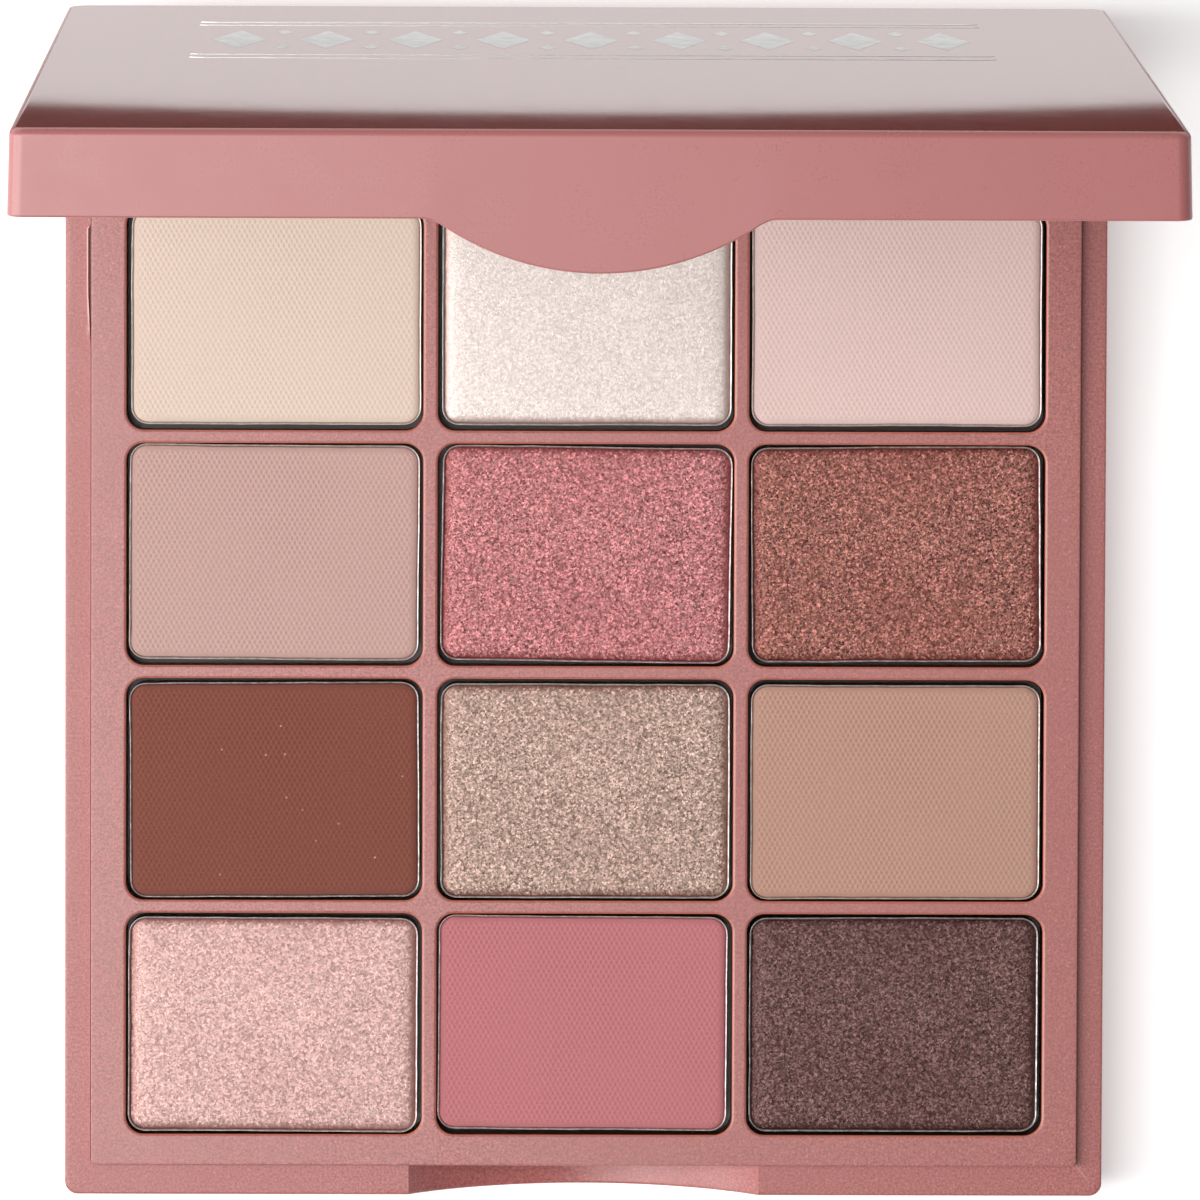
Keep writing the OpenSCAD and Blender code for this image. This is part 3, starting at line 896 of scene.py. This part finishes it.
def pan_ring(inset, z, seed=0, amount=0.0):
    """Ring round a pan's own centre, pushed in and out by the wobble."""
    half = (PAN[0] / 2 - inset, PAN[1] / 2 - inset)
    r = max(PAN_R - inset, 0.12)
    points = ring((-half[0], -half[1]), half, r, z, PAN_SIDES, arc=8)
    for p in points:
        core = Vector((max(abs(p.x) - half[0] + r, 0), max(abs(p.y) - half[1] + r, 0), 0))
        out = Vector((math.copysign(core.x, p.x), math.copysign(core.y, p.y), 0)).normalized()
        p += out * wobble(p, seed, amount)
    return points


def place(piece, centre, turn):
    """Moves a piece built round the origin to its pan's centre and turn."""
    shift = Matrix.Translation(Vector((centre.x, centre.y, 0)) * MM)
    piece.matrix_world = shift @ Matrix.Rotation(turn, 4, "Z")


def pan(cell, node, material, seed):
    """Drawn tin pan with a rolled rim, in place of its CAD node."""
    lo, hi = box_mm(node)
    centre, turn = seat_of(node)
    bottom, rim = lo.z, hi.z
    foot = ((0.6, 0), (0.35, 0), (0.1, 0.08), (0, 0.35))
    bead = ((0.004, 0.05), (0.015, 0.015), (0.035, 0), (0.07, 0.01), (0.11, 0.04), (0.155, 0.085),
            (PAN_WALL, 0.15))
    outer = [pan_ring(inset, bottom + rise) for inset, rise in foot]
    outer += [pan_ring(0, bottom + 2, seed, PAN_WAVE * 0.5), pan_ring(0, rim - 0.3, seed, PAN_WAVE)]
    top = [pan_ring(inset, rim - drop, seed, PAN_WAVE) for inset, drop in bead]
    inner = [pan_ring(PAN_WALL, bottom + 2, seed, PAN_WAVE * 0.5), pan_ring(PAN_WALL, bottom + 0.5),
             pan_ring(0.6, bottom + 0.3)]
    piece = loft("tin_" + cell, outer + top + inner)
    place(piece, centre, turn)
    shade(piece, 60)
    dress(piece, material, "base", "tin_plate", node)


def powder(cell, node, pan_node, slot, material, seed):
    """Pressed cake that fills its pan and falls away to a ragged edge at the wall."""
    lo, hi = box_mm(node)
    rim = box_mm(pan_node)[1].z
    centre, turn = seat_of(pan_node)
    shimmer = slot in SHIMMER
    crown = -0.10 if shimmer else 0.05
    edge = -0.34 if shimmer else -0.20
    fall_off = 0.5 if shimmer else 0.22
    gap = PAN_WALL + 0.01

    def surface(inset):
        """Height of the pressed top at a distance in from the pan's wall."""
        rise = 1 - math.exp(-max(inset, 0) / fall_off)
        level = rim + edge + (crown - edge) * rise
        return level if inset < 1.2 else level + 0.05 * min((inset - 1.2) / 6, 1)

    def rough_top(inset):
        base = surface(inset)
        ragged = 0.05 * math.exp(-inset / 0.4)
        swell = 0.025 * (1 - math.exp(-inset))

        def height(x, y):
            quick = noise.noise(Vector((x * 1.6, y * 1.6, seed + 9)))
            slow = noise.noise(Vector((x * 0.13, y * 0.13, seed + 20)))
            return base + ragged * quick + swell * slow
        return height

    def top_ring(inset):
        points = pan_ring(gap + inset, 0, seed, PAN_WAVE * math.exp(-inset / 2))
        height = rough_top(inset)
        for p in points:
            nick = max(noise.noise(Vector((p.x * 0.8, p.y * 0.8, seed + 60))) - 0.25, 0)
            drop = 0.25 * nick * math.exp(-inset / 0.2)
            p.z = height(p.x, p.y) - drop
        return points

    bottom = lo.z + 0.02
    rings = [pan_ring(0.7, bottom), pan_ring(gap + 0.25, bottom), pan_ring(gap, bottom + 0.3)]
    rings += [pan_ring(gap, bottom + 1.7, seed, PAN_WAVE * 0.5), pan_ring(gap, rim - 0.75, seed, PAN_WAVE)]
    top_steps = (0.0, 0.07, 0.15, 0.25, 0.4, 0.6, 0.9, 1.4, 2.2, 3.4, 5, 7, 9, 10.1)
    rings += [top_ring(i) for i in top_steps]
    piece = loft("cake_" + cell, rings)
    place(piece, centre, turn)
    shade(piece, 70)
    dress(piece, material, "base", slot, node)


def pans_and_powders():
    seed_step = 3.7
    slot_of = {part["node"]: part["material_slot"] for part in frame["record"]["subparts"]}
    for number, (row, col) in enumerate(CELLS):
        cell = f"row{row}_{COLUMNS[col]}"
        slot = slot_of["powder_" + cell]
        if slot in SHIMMER:
            look, material = SHIMMER[slot], shimmer_powder(slot, *SHIMMER[slot])
        else:
            look, material = MATTE[slot], matte_powder(slot, *MATTE[slot])
        pan(cell, "pan_" + cell, tin_plate("tin_" + cell, look[0]), number * seed_step)
        powder(cell, "powder_" + cell, "pan_" + cell, slot, material, number * seed_step)


# ---- Lid ornament ----

def lid_ornament():
    """Plain foil pattern of lines and lozenges, where the maker's words would be."""
    bm = bmesh.new()
    z0, z1 = LID_TOP - 0.01, LID_TOP + 0.02

    def plate(points):
        rows = skin(bm, [[Vector((x, y, z)) for x, y in points] for z in (z0, z1)])
        bm.faces.new(rows[0])
        bm.faces.new(rows[-1])

    def lozenge(x, y, half_w, half_d):
        plate([(x - half_w, y), (x, y - half_d), (x + half_w, y), (x, y + half_d)])

    def bar(x0, x1, y, half_d):
        end = half_d * 3
        plate([(x0, y), (x0 + end, y - half_d), (x1 - end, y - half_d), (x1, y),
               (x1 - end, y + half_d), (x0 + end, y + half_d)])

    half_span = 38.0
    middle_y = 22.0
    count = 9
    pitch = 2 * half_span / count
    for dy, half_d in ((-17, 0.45), (17, 0.45), (-14, 0.2), (14, 0.2)):
        bar(-half_span, half_span, middle_y + dy, half_d)
    for i in range(count):
        x = (i - (count - 1) / 2) * pitch
        lozenge(x, middle_y, 2.6, 8.5)
        if i:
            lozenge(x - pitch / 2, middle_y + 7, 0.8, 2.2)
            lozenge(x - pitch / 2, middle_y - 7, 0.8, 2.2)
    piece = new_piece("lid_ornament", bm)
    swing_open(piece)
    dress(piece, FOIL, "lid", "tin_plate")


# ---- CAD nodes that stay ----

def dress_cad_nodes():
    label = fibrous("label_paper", (0.80, 0.79, 0.77, 1), (0.88, 0.87, 0.85, 1), 2.5, 0.7, 0.02)
    tape = fibrous("mounting_tape", (0.55, 0.55, 0.54, 1), (0.68, 0.68, 0.67, 1), 1.2, 0.8, 0.05)
    glue = fibrous("pan_glue", (0.62, 0.56, 0.44, 1), (0.76, 0.71, 0.60, 1), 0.9, 0.4, 0.08)
    looks = {"hinge_pin_left": STEEL, "hinge_pin_right": STEEL, "lid_mirror": mirror_glass(),
             "mirror_tape": tape, "pan_glue": glue, "base_label": label}
    for node, material in looks.items():
        mesh = frame["nodes"][node].data
        mesh.materials.clear()
        mesh.materials.append(material)


# ---- Studio ----

def area_light(name, place, size, power):
    """Rectangular light that faces the middle of the scene; the camera doesn't see it."""
    data = bpy.data.lights.new(name, "AREA")
    data.shape = "RECTANGLE"
    data.size, data.size_y = size
    data.energy = power
    light = bpy.data.objects.new(name, data)
    light.location = place
    light.rotation_euler = (-light.location).to_track_quat("-Z", "Y").to_euler()
    light.visible_camera = False
    scene.collection.objects.link(light)


def reflection_card(name, near, far, glow):
    """Card on the floor behind the lid that only reflections see; near and far give its edges' Y."""
    half, steps, z = 300.0, 60, 0.5
    xs = [half * (2 * i / steps - 1) for i in range(steps + 1)]
    bm = bmesh.new()
    edge = [(x, near(x)) for x in xs] + [(x, far(x)) for x in reversed(xs)]
    bm.faces.new([bm.verts.new((x, y, z)) for x, y in edge])
    card = new_piece(name, bm)
    s = Shader(name)
    card.data.materials.append(s.finish(Base_Color=(0.01, 0.01, 0.01, 1), Roughness=0.9,
                                        Emission_Color=glow, Emission_Strength=1))
    for ray in ("camera", "diffuse", "transmission", "volume_scatter", "shadow"):
        setattr(card, "visible_" + ray, False)


def cards():
    """The lid's glossy face mirrors a white card, and a black one along its thumb edge."""
    def border(x):
        """Where the cards meet: nearer the lid towards its ends, and a little more so at the right."""
        return 74.78 - min((x / 52) ** 2, 1.5) - 0.002 * x

    reflection_card("white_card", lambda x: 63, border, (0.872, 0.886, 0.888, 1))
    reflection_card("black_card", border, lambda x: 130, (0, 0, 0, 1))


def studio():
    """Pale floor, even surroundings, three soft lights and the two cards."""
    bm = bmesh.new()
    half = 1500.0
    corners = [(-half, -half), (half, -half), (half, half), (-half, half)]
    bm.faces.new([bm.verts.new((x, y, -0.01)) for x, y in corners])
    floor = new_piece("floor", bm)
    floor.data.materials.append(floor_material())
    world = bpy.data.worlds.new("studio")
    world.use_nodes = True
    background = world.node_tree.nodes["Background"].inputs
    background["Color"].default_value = (1, 0.99, 0.98, 1)
    background["Strength"].default_value = 0.21
    scene.world = world
    area_light("key", (-0.32, -0.06, 0.87), (0.5, 0.6), 5.2)
    area_light("side", (-0.75, -0.04, 0.52), (0.35, 0.7), 3.9)
    area_light("low_strip", (-0.6, -0.04, 0.17), (0.5, 0.3), 0.5)
    cards()
    scene.view_settings.view_transform = "Standard"


base_shell()
deck_tray()
pans_and_powders()
lid_shell()
lid_ornament()
dress_cad_nodes()
studio()
